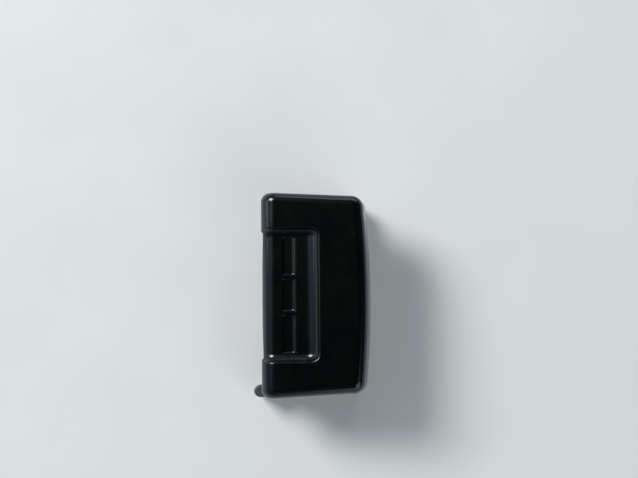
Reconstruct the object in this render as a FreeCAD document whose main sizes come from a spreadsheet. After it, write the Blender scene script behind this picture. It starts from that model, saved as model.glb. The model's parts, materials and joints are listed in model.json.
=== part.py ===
import FreeCAD, Part
import math
import os
import types

import Sketcher

# ID card slot punch: a wide desk lever presses a blunt oblong punch through a plastic card.
# Millimetres. X runs along the lever's long side, Y from the card mouth to the press edge, Z up.
# The origin is on the table, under the middle of the whole punch at rest.

doc = FreeCAD.newDocument("card_slot_punch")

DRIVING = {
    # the card, and the slot punched near its edge
    "card_length": 85.6,
    "card_width": 54,
    "card_play": 0.2,
    "card_gap": 1.6,
    "slot_length": 14,
    "slot_width": 3,
    "slot_setback": 6.5,
    # clearances: moving, running, seated and pressed pieces
    "move_gap": 0.3,
    "slide_gap": 0.2,
    "fit_gap": 0.05,
    "seat_gap": 0.1,
    "press_gap": 0.02,
    # base housing, bottom cover and feet
    "base_front": 22.9,
    "base_rear": 26.1,
    "base_side": 3.4,
    "base_corner": 4,
    "base_wall": 2.6,
    "bay_height": 6.8,
    "deck_thick": 2,
    "front_rail": 5.5,
    "rear_rim": 4.2,
    "bottom_thick": 1.8,
    "bottom_inset": 0.5,
    "foot_height": 2.5,
    "foot_sink": 0.8,
    "foot_across": 9,
    "foot_inset": 8.5,
    # steel frame
    "frame_steel": 2,
    "frame_setback": 1,
    "cheek_depth": 15,
    "cheek_step": 4,
    # pivot, pins and clips
    "pivot_inset": 6,
    "pin_across": 4,
    "pin_end": 0.7,
    "pin_bevel": 0.3,
    "clip_thick": 0.7,
    "clip_wide": 1.6,
    "groove_depth": 0.4,
    "bush_wall": 1,
    "bush_flange": 0.7,
    # lever frame and the drive of the ram
    "lever_steel": 1.5,
    "arm_gap": 1.1,
    "arm_margin": 1.45,
    "arm_foot": 11.7,
    "plate_front": 2.6,
    "drive_radius": 12.1,
    "swing": 14.2,
    "lug_margin": 1.5,
    "lug_gap": 0.6,
    "core_gap": 0.5,
    # punch guide, ram, posts and springs
    "guide_height": 5.4,
    "guide_front": 6.5,
    "guide_foot": 7.5,
    "guide_round": 1.2,
    "stroke_gap": 0.3,
    "ram_wing": 2.7,
    "core_margin": 4,
    "core_above": 3,
    "wing_margin": 4,
    "ram_wall": 3,
    "cross_play": 1,
    "blade_rest": 0.3,
    "blade_sink": 4.2,
    "blade_relief": 0.8,
    "blade_land": 1,
    "blade_pin_across": 2,
    "post_across": 3,
    "post_bite": 1.8,
    "spring_across": 6,
    "spring_wire": 0.7,
    "spring_turns": 4.5,
    "spring_seat": 3,
    "spring_cap": 1.5,
    # die and chip drawer
    "die_margin": 5,
    "die_rim": 4,
    "die_thick": 3,
    "die_corner": 0.8,
    "die_gap": 0.1,
    "chute_margin": 2,
    "drawer_half": 20,
    "drawer_lead": 8,
    "drawer_wall": 1.5,
    "drawer_pull": 1.9,
    # depth stop
    "stop_inset": 4.5,
    "stop_depth": 10.8,
    "stop_height": 4,
    "stop_bevel": 0.5,
    "stop_corner": 1.5,
    # card guide and its undercut groove
    "plate_thick": 2,
    "fence_thick": 1.2,
    "fence_height": 3,
    "fence_reach": 7,
    "grip_across": 6.2,
    "grip_reach": 4.6,
    "grip_bow": 2.8,
    "tongue_inset": 1,
    "groove_neck": 1.4,
    "groove_head": 3,
    "groove_lip": 1,
    "groove_deep": 2.5,
    # lever cover
    "lever_wall": 2.2,
    "side_gap": 1.7,
    "front_gap": 0.6,
    "lever_taper": 3.25,
    "lever_rear": 46.8,
    "rear_bow": 2.5,
    "rear_corner": 6,
    "edge_round": 4.6,
    "ear_round": 8,
    "ear_width": 18.6,
    "ear_bevel": 3.2,
    "skirt_front": 6,
    "skirt_rear": 3,
    "brow_round": 7,
    "brow_bevel": 1,
    "brow_step": 1,
    "scoop_rim": 23,
    "scoop_depth": 4,
    "scoop_round": 8,
    "scoop_end_round": 4,
    "rim_round": 0.8,
    "scoop_floor": 2.5,
    "recess_depth": 1.3,
    "recess_front": 3.7,
    "recess_rear": 11,
    "recess_mid": 8.2,
    "recess_rib": 1.6,
    "recess_slope": 2.6,
    "recess_round": 0.9,
    # screws and where they stand
    "screw_across": 2.9,
    "head_across": 5.5,
    "head_height": 1.8,
    "socket_across": 2.5,
    "boss_wall": 1.8,
    "screw_gap": 0.15,
    "thread_gap": 0.05,
    "well_gap": 0.25,
    "head_sink": 1,
    "tip_inset": 1,
    "tip_gap": 0.5,
    "frame_screw_x": 9.7,
    "frame_screw_front": 2,
    "frame_screw_rear": 5,
    "bottom_screw_x": 12.7,
    "guide_screw_x": 13,
    "cover_screw_inset": 3.9,
    "cover_screw_front": 6,
    "plate_inset": 8,
}


class Size:
    """A value together with the sheet formula that gives it."""

    def __init__(self, formula, value):
        self.formula = formula
        self.value = value

    def __add__(self, other):
        other = as_size(other)
        return Size(f"({self.formula} + {other.formula})", self.value + other.value)

    def __sub__(self, other):
        other = as_size(other)
        return Size(f"({self.formula} - {other.formula})", self.value - other.value)

    def __mul__(self, other):
        other = as_size(other)
        return Size(f"({self.formula} * {other.formula})", self.value * other.value)

    def __truediv__(self, other):
        other = as_size(other)
        return Size(f"({self.formula} / {other.formula})", self.value / other.value)

    def __radd__(self, other):
        return as_size(other) + self

    def __rsub__(self, other):
        return as_size(other) - self

    def __neg__(self):
        return self * -1


def as_size(thing):
    if isinstance(thing, Size):
        return thing
    return Size(f"({float(thing)})", float(thing))


def sine(angle):
    return Size(f"sin({angle.formula})", math.sin(math.radians(angle.value)))


def root(size):
    return Size(f"sqrt({size.formula})", math.sqrt(size.value))


def make_sheet():
    """Writes the driving sizes into a spreadsheet and returns them by name."""
    sheet = doc.addObject("Spreadsheet::Sheet", "sizes")
    named = {}
    for row, (name, value) in enumerate(DRIVING.items(), start=1):
        sheet.set(f"A{row}", name)
        sheet.set(f"B{row}", str(value))
        sheet.setAlias(f"B{row}", name)
        named[name] = Size(f"sizes.{name}", float(value))
    doc.recompute()
    return types.SimpleNamespace(**named)


s = make_sheet()

# How far a cut runs past the material it opens.
past = 1

# The bow of a quarter round, as a share of its radius.
ROLL_BOW = 1 - math.sqrt(0.5)

SIDES = ((-1, "left"), (1, "right"))

# Heights from the table up.
bottom_z = s.foot_height - s.foot_sink
housing_z = bottom_z + s.bottom_thick
deck_low = housing_z + s.bay_height
deck_top = deck_low + s.deck_thick
bed_z = deck_top + s.frame_steel
die_low = bed_z - s.die_thick
roof_z = bed_z + s.card_gap
guide_top = roof_z + s.guide_height
fence_low = bed_z + s.slide_gap
fence_top = fence_low + s.fence_height
groove_z = (housing_z + deck_low) / 2

# Round pieces on the two pins.
pin_radius = s.pin_across / 2
bush_bore = s.pin_across + s.fit_gap * 2
bush_across = bush_bore + s.bush_wall * 2
arm_radius = bush_across / 2 + s.arm_margin
cheek_radius = arm_radius - s.core_gap
lug_radius = pin_radius + s.lug_margin

# The drive pin stands as far above the level of the pivot at rest as below it when pressed.
rest_tilt = s.swing / 2
half_travel = s.drive_radius * sine(rest_tilt)
ram_low = guide_top + half_travel * 2 + s.stroke_gap
wing_top = ram_low + s.ram_wing
drive_z = wing_top + s.lug_gap + lug_radius
pivot_z = drive_z - half_travel
ram_top = drive_z + lug_radius
blade_top = ram_low + s.blade_sink
blade_pin_z = ram_low + s.blade_sink / 2
spring_low = guide_top - s.spring_seat
post_stop = wing_top + s.seat_gap

# Places along Y.
pivot_y = s.pivot_inset - s.base_front
ram_y = pivot_y + root(s.drive_radius * s.drive_radius - half_travel * half_travel)
stop_y = ram_y + s.slot_setback
guide_rear = stop_y + s.guide_foot
stop_rear = stop_y + s.stop_depth
frame_rear = s.base_rear - s.rear_rim
drawer_front = ram_y - s.drawer_lead

# Widths from the card outwards to the lever's side.
fence_x = s.card_length / 2 + s.card_play
fence_travel = (s.card_length - s.card_width) / 2
cheek_inner = fence_x + s.fence_thick + s.move_gap
frame_half = cheek_inner + s.frame_steel
base_half = frame_half + s.seat_gap + s.base_side
arm_outer = cheek_inner - s.arm_gap
arm_inner = arm_outer - s.lever_steel
pivot_groove = frame_half + s.seat_gap
pin_tail = s.clip_thick + s.seat_gap + s.pin_end
lever_inner = pivot_groove + pin_tail + s.side_gap
lever_half = lever_inner + s.lever_wall
scoop_half = lever_half - s.ear_width
stop_half = cheek_inner - s.stop_inset
groove_end = fence_x - fence_travel - s.move_gap

# Widths from the slot outwards.
ram_core = s.slot_length / 2 + s.core_margin
lug_inner = ram_core + s.core_gap
lug_outer = lug_inner + s.lever_steel
drive_groove = lug_outer + s.seat_gap
post_x = drive_groove + pin_tail + s.arm_gap + s.head_across / 2
ram_half = post_x + s.wing_margin
guide_half = ram_half + s.guide_round + s.move_gap
ram_depth = s.slot_width + s.ram_wall * 2
die_half = s.slot_length / 2 + s.die_margin
die_reach = s.slot_width / 2 + s.die_rim
bay_half = s.drawer_half + s.move_gap

# The lever in its own frame: pivot at the origin, level.
plate_low = lug_radius + s.core_above
plate_top = plate_low + s.lever_steel
scoop_low = plate_top + s.scoop_floor
lever_top = scoop_low + s.scoop_depth
lever_roof = lever_top - s.lever_wall
lever_front = arm_radius + s.front_gap + s.lever_wall
plate_rear = s.lever_rear - s.plate_inset
scoop_height = s.scoop_round - s.scoop_depth
scoop_wall = s.scoop_rim + s.scoop_round - root(
    s.scoop_round * s.scoop_round - scoop_height * scoop_height
)

# Screws.
thread_across = s.screw_across + s.thread_gap * 2
clear_across = s.screw_across + s.screw_gap * 2
well_across = s.head_across + s.well_gap * 2
boss_across = s.screw_across + s.boss_wall * 2
sunk_head = (s.head_across - s.screw_across) / 2
bottom_head_z = bottom_z - s.head_height / 2
cover_screw_tip = lever_roof - s.tip_gap


def both_sides(x, *ys):
    return [(x * side, y) for side in (-1, 1) for y in ys]


foot_places = both_sides(
    base_half - s.foot_inset, s.foot_inset - s.base_front, s.base_rear - s.foot_inset
)
frame_screw_places = both_sides(
    bay_half + s.frame_screw_x, pivot_y + s.frame_screw_front, frame_rear - s.frame_screw_rear
)
bottom_screw_places = both_sides(
    bay_half + s.bottom_screw_x, ram_y - s.frame_screw_front, stop_rear - s.frame_screw_front
)
guide_screw_places = both_sides(s.guide_screw_x, stop_y + s.guide_foot / 2)
stop_screw_places = both_sides((guide_half + stop_half) / 2, stop_y + s.stop_depth / 2)
cover_screw_places = both_sides(
    arm_inner - s.cover_screw_inset, s.cover_screw_front, plate_rear - s.cover_screw_front
)
post_places = both_sides(post_x, ram_y)
deck_screw_places = guide_screw_places + stop_screw_places


# Sketches.


def bind(thing, path, size):
    thing.setExpression(path, as_size(size).formula)


def tie(sketch, kind, geometry, end, size):
    """Dimensions one point of a sketch from the origin along X or Y."""
    index = sketch.addConstraint(Sketcher.Constraint(kind, -1, 1, geometry, end, size.value))
    bind(sketch, f"Constraints[{index}]", size)


def tie_point(sketch, geometry, end, x, y):
    tie(sketch, "DistanceX", geometry, end, as_size(x))
    tie(sketch, "DistanceY", geometry, end, as_size(y))


def tie_bow(sketch, geometry, start, end, bow):
    """Ties an arc's centre so that the arc stands out from its chord by the bow."""
    along_x = end[0] - start[0]
    along_y = end[1] - start[1]
    chord_squared = along_x * along_x + along_y * along_y
    reach = (chord_squared / 4 - bow * bow) / (bow * 2) / root(chord_squared)
    if abs(along_x.value) > abs(along_y.value):
        tie(sketch, "DistanceY", geometry, 3, (start[1] + end[1]) / 2 + along_x * reach)
    else:
        tie(sketch, "DistanceX", geometry, 3, (start[0] + end[0]) / 2 - along_y * reach)


def side_curve(start, end, bow):
    """A straight side, or an arc that stands out to the right of the way it runs."""
    if not bow:
        return Part.LineSegment(start, end)
    chord = end - start
    outward = FreeCAD.Vector(chord.y, -chord.x, 0).normalize()
    return Part.Arc(start, (start + end) / 2 + outward * bow, end)


def outline(sketch, points):
    """A closed loop of points (x, y), or (x, y, bow) where the side that follows is an arc."""
    points = [tuple(as_size(part) for part in point) for point in points]
    spots = [FreeCAD.Vector(point[0].value, point[1].value, 0) for point in points]
    first = sketch.GeometryCount
    count = len(points)
    ends = []
    for n, point in enumerate(points):
        bow = point[2].value if len(point) == 3 else 0
        sketch.addGeometry(side_curve(spots[n], spots[(n + 1) % count], bow), False)
        forward = sketch.getPoint(first + n, 1).distanceToPoint(spots[n]) < 1e-6
        ends.append((1, 2) if forward else (2, 1))
    for n, point in enumerate(points):
        after = (n + 1) % count
        sketch.addConstraint(
            Sketcher.Constraint("Coincident", first + n, ends[n][1], first + after, ends[after][0])
        )
        tie_point(sketch, first + n, ends[n][0], point[0], point[1])
    for n, point in enumerate(points):
        if len(point) == 3:
            tie_bow(sketch, first + n, point, points[(n + 1) % count], point[2])


def circle(sketch, x, y, across):
    radius = as_size(across) / 2
    centre = FreeCAD.Vector(as_size(x).value, as_size(y).value, 0)
    ring = Part.Circle(centre, FreeCAD.Vector(0, 0, 1), radius.value)
    index = sketch.addGeometry(ring, False)
    tie_point(sketch, index, 3, x, y)
    number = sketch.addConstraint(Sketcher.Constraint("Radius", index, radius.value))
    bind(sketch, f"Constraints[{number}]", radius)


# Each of these returns a function that draws into a sketch.


def loop(*points):
    return lambda sketch: outline(sketch, points)


def boxed(left, right, low, high):
    return loop((left, low), (right, low), (right, high), (left, high))


def circles(places, across):
    def draw(sketch):
        for x, y in places:
            circle(sketch, x, y, across)

    return draw


def oblong(x, y, length, width):
    """A slot of overall length along the sketch's first axis, with round ends."""
    reach = (length - width) / 2
    half = width / 2
    return loop(
        (x - reach, y - half),
        (x + reach, y - half, half),
        (x + reach, y + half),
        (x - reach, y + half, half),
    )


def hexagons(places, across):
    corner = across / math.sqrt(3)
    turns = [math.radians(60 * n) for n in range(6)]

    def draw(sketch):
        for x, y in places:
            outline(sketch, [(x + corner * math.cos(t), y + corner * math.sin(t)) for t in turns])

    return draw


# Holes that line up in two sub-parts.
blade_hole = oblong(0, ram_y, s.slot_length + s.fit_gap * 2, s.slot_width + s.fit_gap * 2)
blade_pin_hole = circles([(0, blade_pin_z)], s.blade_pin_across + s.press_gap * 2)
spring_wells = circles(post_places, s.spring_across + s.move_gap * 2)

# For each plane: its role in a body's origin, and which way its normal runs along the world axis.
PLANES = {"XY": ("XY_Plane", 1), "XZ": ("XZ_Plane", -1), "YZ": ("YZ_Plane", 1)}
parts = []


def new_body(name):
    body = doc.addObject("PartDesign::Body", name)
    body.Label = name
    parts.append(body)
    return body


def place(body, x=0, y=0, z=0, tilt=0):
    """Moves a finished sub-part to its place; tilt turns it about its own X axis."""
    x, y, z, tilt = (as_size(part) for part in (x, y, z, tilt))
    body.Placement = FreeCAD.Placement(
        FreeCAD.Vector(x.value, y.value, z.value),
        FreeCAD.Rotation(FreeCAD.Vector(1, 0, 0), tilt.value),
    )
    bind(body, ".Placement.Base.x", x)
    bind(body, ".Placement.Base.y", y)
    bind(body, ".Placement.Base.z", z)
    if tilt.value:
        bind(body, ".Placement.Rotation.Angle", tilt)


def place_on_lever(body):
    place(body, 0, pivot_y, pivot_z, rest_tilt)


def sketch_at(body, plane, level, draw):
    role, sense = PLANES[plane]
    sketch = body.newObject("Sketcher::SketchObject", "sketch")
    support = [feature for feature in body.Origin.OriginFeatures if feature.Role == role][0]
    sketch.AttachmentSupport = (support, [""])
    sketch.MapMode = "FlatFace"
    bind(sketch, ".AttachmentOffset.Base.z", as_size(level) * sense)
    draw(sketch)
    return sketch


def pad(body, plane, low, high, draw):
    """Material between two levels along the plane's world axis."""
    start = low if PLANES[plane][1] > 0 else high
    sketch = sketch_at(body, plane, start, draw)
    feature = body.newObject("PartDesign::Pad", "pad")
    feature.Profile = sketch
    bind(feature, "Length", as_size(high) - low)
    settle(body, feature, grows=True)


def cut(body, plane, low, high, draw):
    """A hole or recess between two levels along the plane's world axis."""
    start = high if PLANES[plane][1] > 0 else low
    sketch = sketch_at(body, plane, start, draw)
    feature = body.newObject("PartDesign::Pocket", "pocket")
    feature.Profile = sketch
    bind(feature, "Length", as_size(high) - low)
    settle(body, feature, grows=False)


def revolve(body, draw):
    """A round piece about its own X axis from a half section in the XZ plane."""
    sketch = sketch_at(body, "XZ", 0, draw)
    feature = body.newObject("PartDesign::Revolution", "turned")
    feature.Profile = sketch
    feature.ReferenceAxis = (sketch, ["H_Axis"])
    feature.Angle = 360
    settle(body, feature, grows=True)


def settle(body, feature, grows):
    """Recomputes, and stops where a feature adds or removes nothing."""
    before = feature.BaseFeature.Shape.Volume if feature.BaseFeature else 0
    doc.recompute()
    change = feature.Shape.Volume - before
    if "Invalid" in feature.State or (change <= 0) == grows:
        raise RuntimeError(f"{body.Label}: {feature.Name} changes the volume by {change:.4f}")
    body.Tip = feature


def dress(body, kind, path, size, choose):
    """Rounds or bevels the edges that the test picks out."""
    base = body.Tip
    names = [f"Edge{n}" for n, edge in enumerate(base.Shape.Edges, start=1) if choose(edge)]
    feature = body.newObject(f"PartDesign::{kind}", kind.lower())
    feature.Base = (base, names)
    bind(feature, path, size)
    doc.recompute()
    if not names or "Invalid" in feature.State or not feature.Shape.isValid():
        raise RuntimeError(f"{body.Label}: {feature.Name} failed on {len(names)} edges")
    body.Tip = feature


def fillet(body, radius, choose):
    dress(body, "Fillet", "Radius", radius, choose)


def chamfer(body, size, choose):
    dress(body, "Chamfer", "Size", size, choose)


def upright(edge):
    """True for a straight edge along Z."""
    box = edge.BoundBox
    return box.XLength < 1e-4 and box.YLength < 1e-4


def at_level(edge, level, axis="Z"):
    """True for an edge that lies wholly at one level along an axis."""
    box = edge.BoundBox
    low = getattr(box, f"{axis}Min")
    high = getattr(box, f"{axis}Max")
    value = as_size(level).value
    return abs(low - value) < 1e-3 and abs(high - value) < 1e-3


def at_side(edge, x):
    """True for an edge that lies at the given distance left or right of the middle."""
    return at_level(edge, x, "X") or at_level(edge, -x, "X")


def around(edge, places):
    """True for a round edge centred on one of the places."""
    if not hasattr(edge.Curve, "Center"):
        return False
    centre = edge.Curve.Center
    return any(math.hypot(centre.x - x.value, centre.y - y.value) < 0.01 for x, y in places)


def span(side, inner, outer):
    """Low and high level of a stretch that lies on one side of the middle."""
    return (inner, outer) if side > 0 else (-outer, -inner)


def ordered(one, other):
    return (one, other) if one.value < other.value else (other, one)


def screws(name, places, head, tip, sunk=False, across=s.screw_across):
    """A group of socket-head screws from the outer face of the head to the tip of the shank."""
    body = new_body(name)
    way = 1 if tip.value > head.value else -1
    neck = head + (sunk_head + s.seat_gap if sunk else s.head_height) * way
    pad(body, "XY", *ordered(head, neck), circles(places, s.head_across))
    if sunk:
        chamfer(body, sunk_head, lambda edge: at_level(edge, neck))
    else:
        fillet(body, s.head_height / 4, lambda edge: at_level(edge, head))
    pad(body, "XY", *ordered(neck, tip), circles(places, across))
    socket_end = head + s.head_height / 2 * way
    cut(body, "XY", *ordered(head, socket_end), hexagons(places, s.socket_across))
    return body


# The base and what is fixed to it.


def make_feet():
    for number, (x, y) in enumerate(foot_places, start=1):
        body = new_body(f"foot_{number}")
        pad(body, "XY", 0, s.foot_height, circles([(0, 0)], s.foot_across))
        fillet(body, s.foot_height / 4, lambda edge: at_level(edge, 0))
        place(body, x, y)


def make_bottom_cover():
    body = new_body("bottom_cover")
    half = base_half - s.bottom_inset
    near = s.bottom_inset - s.base_front
    far = s.base_rear - s.bottom_inset
    pad(body, "XY", bottom_z, housing_z, boxed(-half, half, near, far))
    fillet(body, s.base_corner - s.bottom_inset, upright)
    chamfer(body, s.bottom_inset, lambda edge: at_level(edge, bottom_z))
    foot_wells = circles(foot_places, s.foot_across + s.seat_gap * 2)
    cut(body, "XY", bottom_z, bottom_z + s.foot_sink, foot_wells)
    cut(body, "XY", bottom_z, housing_z, circles(bottom_screw_places, clear_across))
    head_wells = circles(bottom_screw_places, well_across)
    cut(body, "XY", bottom_z, bottom_head_z + s.head_height, head_wells)


def make_bottom_screws():
    screws("bottom_screws", bottom_screw_places, bottom_head_z, deck_low - s.tip_inset)


def make_base_housing():
    body = new_body("base_housing")
    pad(body, "XY", housing_z, bed_z, boxed(-base_half, base_half, -s.base_front, s.base_rear))
    fillet(body, s.base_corner, upright)
    fillet(body, s.base_wall / 3, lambda edge: at_level(edge, bed_z))
    tray = frame_half + s.seat_gap
    tray_front = -s.base_front - past
    cut(body, "XY", deck_top, bed_z, boxed(-tray, tray, tray_front, frame_rear + s.seat_gap))
    hollow_base_housing(body)

    # bosses, and holes for the screws that end in them or in the deck
    boss_places = frame_screw_places + bottom_screw_places
    pad(body, "XY", housing_z, deck_low, circles(boss_places, boss_across))
    cut(body, "XY", housing_z, deck_top, circles(frame_screw_places, thread_across))
    blind_end = deck_low - s.tip_inset + s.tip_gap
    cut(body, "XY", housing_z, blind_end, circles(bottom_screw_places, thread_across))
    cut(body, "XY", deck_low, deck_top, circles(deck_screw_places, thread_across))

    # seat of the die, and the way down for the chips
    seat_x = die_half + s.seat_gap
    seat_y = die_reach + s.seat_gap
    cut(body, "XY", die_low, deck_top, boxed(-seat_x, seat_x, ram_y - seat_y, ram_y + seat_y))
    chute_length = s.slot_length + s.chute_margin * 2
    chute_width = s.slot_width + s.chute_margin * 2
    cut(body, "XY", deck_low, die_low, oblong(0, ram_y, chute_length, chute_width))

    # undercut groove in the front rail, open at the side, for the card guide
    lip_y = s.groove_lip - s.base_front
    for near, far, height in (
        (-s.base_front, lip_y, s.groove_neck),
        (lip_y, s.groove_deep - s.base_front, s.groove_head),
    ):
        low = groove_z - height / 2
        cut(body, "XZ", near, far, boxed(groove_end, base_half + past, low, low + height))


def hollow_base_housing(body):
    """A cell on each side, and between them the drawer's bay, open at the rear."""
    cell_inner = bay_half + s.base_wall
    cell_outer = base_half - s.base_wall
    near = s.front_rail - s.base_front
    far = s.base_rear - s.base_wall
    for side in (-1, 1):
        left, right = span(side, cell_inner, cell_outer)
        cut(body, "XY", housing_z, deck_low, boxed(left, right, near, far))
    bay = boxed(-bay_half, bay_half, drawer_front - s.move_gap, s.base_rear + past)
    cut(body, "XY", housing_z, deck_low, bay)


def make_steel_frame():
    body = new_body("steel_frame")
    web_front = s.frame_setback - s.base_front
    pad(body, "XY", deck_top, bed_z, boxed(-frame_half, frame_half, web_front, frame_rear))
    front = pivot_y - cheek_radius
    rear = front + s.cheek_depth
    cheek = loop(
        (front, deck_top),
        (rear, deck_top),
        (rear, bed_z + s.cheek_step),
        (pivot_y + cheek_radius, pivot_z, cheek_radius),
        (front, pivot_z),
    )
    for side in (-1, 1):
        pad(body, "YZ", *span(side, cheek_inner, frame_half), cheek)
    outer_bend = lambda edge: at_level(edge, deck_top) and at_side(edge, frame_half)
    inner_bend = lambda edge: at_level(edge, bed_z) and at_side(edge, cheek_inner)
    fillet(body, s.frame_steel * 0.75, outer_bend)
    fillet(body, s.frame_steel * 0.25, inner_bend)
    bore = circles([(pivot_y, pivot_z)], s.pin_across + s.press_gap * 2)
    cut(body, "YZ", -frame_half - past, frame_half + past, bore)
    window_x = die_half + s.seat_gap
    window_y = die_reach + s.seat_gap
    cut(body, "XY", deck_top, bed_z, boxed(-window_x, window_x, ram_y - window_y, ram_y + window_y))
    cut(body, "XY", deck_top, bed_z, circles(deck_screw_places, thread_across))
    cut(body, "XY", deck_top, bed_z, circles(frame_screw_places, clear_across))
    hole_rim = lambda edge: at_level(edge, bed_z) and around(edge, frame_screw_places)
    chamfer(body, (s.head_across - clear_across) / 2 + s.seat_gap, hole_rim)


def make_frame_screws():
    screws("frame_screws", frame_screw_places, bed_z, housing_z + s.tip_inset, sunk=True)


def make_die_insert():
    body = new_body("die_insert")
    pad(body, "XY", die_low, bed_z, boxed(-die_half, die_half, ram_y - die_reach, ram_y + die_reach))
    fillet(body, s.die_corner, upright)
    hole_length = s.slot_length + s.die_gap * 2
    hole_width = s.slot_width + s.die_gap * 2
    cut(body, "XY", die_low, bed_z, oblong(0, ram_y, hole_length, hole_width))


def make_punch_guide():
    """Bridges the throat: the blade and the ram's posts go through it, and its foot stops the card."""
    body = new_body("punch_guide")
    front = ram_y - s.guide_front
    pad(body, "XY", roof_z, guide_top, boxed(-guide_half, guide_half, front, guide_rear))
    pad(body, "XY", bed_z, roof_z, boxed(-guide_half, guide_half, stop_y, guide_rear))
    at_stop = lambda edge: at_level(edge, stop_y, "Y")
    fillet(body, s.guide_round, lambda edge: upright(edge) and not at_stop(edge))
    chamfer(body, s.card_gap / 2, lambda edge: at_level(edge, roof_z) and at_level(edge, front, "Y"))
    cut(body, "XY", roof_z, guide_top, blade_hole)
    cut(body, "XY", spring_low, guide_top, spring_wells)
    post_holes = circles(post_places, s.post_across + s.press_gap * 2)
    cut(body, "XY", spring_low - s.post_bite - s.seat_gap, spring_low, post_holes)
    cut(body, "XY", bed_z, guide_top, circles(guide_screw_places, clear_across))
    well_low = guide_top - s.head_height - s.head_sink
    cut(body, "XY", well_low, guide_top, circles(guide_screw_places, well_across))


def make_guide_screws():
    screws("guide_screws", guide_screw_places, guide_top - s.head_sink, deck_low + s.move_gap)


def make_depth_stop():
    """A bar behind the throat whose two arms stop the card beside the punch guide."""
    body = new_body("depth_stop")
    notch = guide_half + s.move_gap
    notch_rear = guide_rear + s.move_gap
    top = bed_z + s.stop_height
    plan = loop(
        (-stop_half, stop_y),
        (-notch, stop_y),
        (-notch, notch_rear),
        (notch, notch_rear),
        (notch, stop_y),
        (stop_half, stop_y),
        (stop_half, stop_rear),
        (-stop_half, stop_rear),
    )
    pad(body, "XY", bed_z, top, plan)
    fillet(body, s.stop_corner, lambda edge: upright(edge) and at_side(edge, stop_half))
    chamfer(body, s.stop_bevel, lambda edge: at_level(edge, top))
    cut(body, "XY", bed_z, top, circles(stop_screw_places, clear_across))
    cut(body, "XY", top - s.head_height, top, circles(stop_screw_places, well_across))


def make_stop_screws():
    screws("stop_screws", stop_screw_places, bed_z + s.stop_height, deck_low + s.move_gap)


# Pins, clips and bushes.


def make_pin(name, groove_in):
    """A round pin along X with a groove for a clip near each end."""
    body = new_body(name)
    groove_out = groove_in + s.clip_thick + s.seat_gap
    end = groove_out + s.pin_end
    thin = pin_radius - s.groove_depth
    half = [
        (end, 0),
        (end, pin_radius - s.pin_bevel),
        (end - s.pin_bevel, pin_radius),
        (groove_out, pin_radius),
        (groove_out, thin),
        (groove_in, thin),
        (groove_in, pin_radius),
    ]
    mirrored = [(-x, radius) for x, radius in reversed(half)]
    revolve(body, loop(*half, *mirrored))
    return body


def make_clip(name, side, groove_in):
    """An open ring that snaps into a pin's groove."""
    body = new_body(name)
    bore = (pin_radius - s.groove_depth + s.press_gap) * 2
    outer = (pin_radius + s.clip_wide) * 2
    near = groove_in + s.seat_gap / 2
    low, high = span(side, near, near + s.clip_thick)
    pad(body, "YZ", low, high, circles([(0, 0)], outer))
    cut(body, "YZ", low, high, circles([(0, 0)], bore))
    mouth = bore * 0.4
    cut(body, "YZ", low, high, boxed(-mouth, mouth, -outer, 0))
    return body


def make_pinned(name, groove_in, y, z):
    """A pin and its two clips in their place."""
    place(make_pin(f"{name}_pin", groove_in), 0, y, z)
    for side, word in SIDES:
        place(make_clip(f"{name}_clip_{word}", side, groove_in), 0, y, z)


def make_pivot():
    make_pinned("pivot", pivot_groove, pivot_y, pivot_z)


def make_drive():
    make_pinned("drive", drive_groove, ram_y, drive_z)


def make_pivot_bushes():
    for side, word in SIDES:
        body = new_body(f"pivot_bush_{word}")
        flange = arm_outer + s.bush_flange
        pad(body, "YZ", *span(side, arm_inner, arm_outer), circles([(0, 0)], bush_across))
        collar = circles([(0, 0)], bush_across + s.bush_wall * 2)
        pad(body, "YZ", *span(side, arm_outer, flange), collar)
        cut(body, "YZ", *span(side, arm_inner, flange), circles([(0, 0)], bush_bore))
        place_on_lever(body)


# The ram: bar, blade, posts and springs.


def make_ram_bar():
    body = new_body("ram_bar")
    near = ram_y - ram_depth / 2
    far = ram_y + ram_depth / 2
    front_view = loop(
        (-ram_half, ram_low),
        (ram_half, ram_low),
        (ram_half, wing_top),
        (ram_core, wing_top),
        (ram_core, ram_top),
        (-ram_core, ram_top),
        (-ram_core, wing_top),
        (-ram_half, wing_top),
    )
    pad(body, "XZ", near, far, front_view)
    fillet(body, s.ram_wall / 2, lambda edge: upright(edge) and at_side(edge, ram_half))
    chamfer(body, s.ram_wall / 4, lambda edge: at_level(edge, ram_top))
    cut(body, "XY", ram_low, blade_top, blade_hole)
    slot = oblong(ram_y, drive_z, s.pin_across + s.cross_play, s.pin_across + s.fit_gap * 2)
    cut(body, "YZ", -ram_core - past, ram_core + past, slot)
    cut(body, "XY", ram_low, ram_low + s.spring_cap, spring_wells)
    cut(body, "XY", ram_low, wing_top, circles(post_places, s.post_across + s.fit_gap * 2))
    cut(body, "XZ", near, far, blade_pin_hole)


def make_punch_blade():
    body = new_body("punch_blade")
    tip = roof_z + s.blade_rest
    pad(body, "XY", tip, blade_top, oblong(0, ram_y, s.slot_length, s.slot_width))
    near = ram_y - s.slot_width
    far = ram_y + s.slot_width
    relief = s.slot_length / 2 - s.blade_land
    cut(body, "XZ", near, far, loop((-relief, tip), (relief, tip), (0, tip + s.blade_relief)))
    cut(body, "XZ", near, far, blade_pin_hole)


def make_blade_pin():
    body = new_body("blade_pin")
    reach = ram_depth / 2 - s.slide_gap
    pin = circles([(0, blade_pin_z)], s.blade_pin_across)
    pad(body, "XZ", ram_y - reach, ram_y + reach, pin)


def make_guide_posts():
    """Shoulder screws that guide the ram and whose heads stop it at rest."""
    head = post_stop + s.head_height
    tip = spring_low - s.post_bite
    for word, post in zip(("left", "right"), post_places):
        screws(f"guide_post_{word}", [post], head, tip, across=s.post_across)


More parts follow.
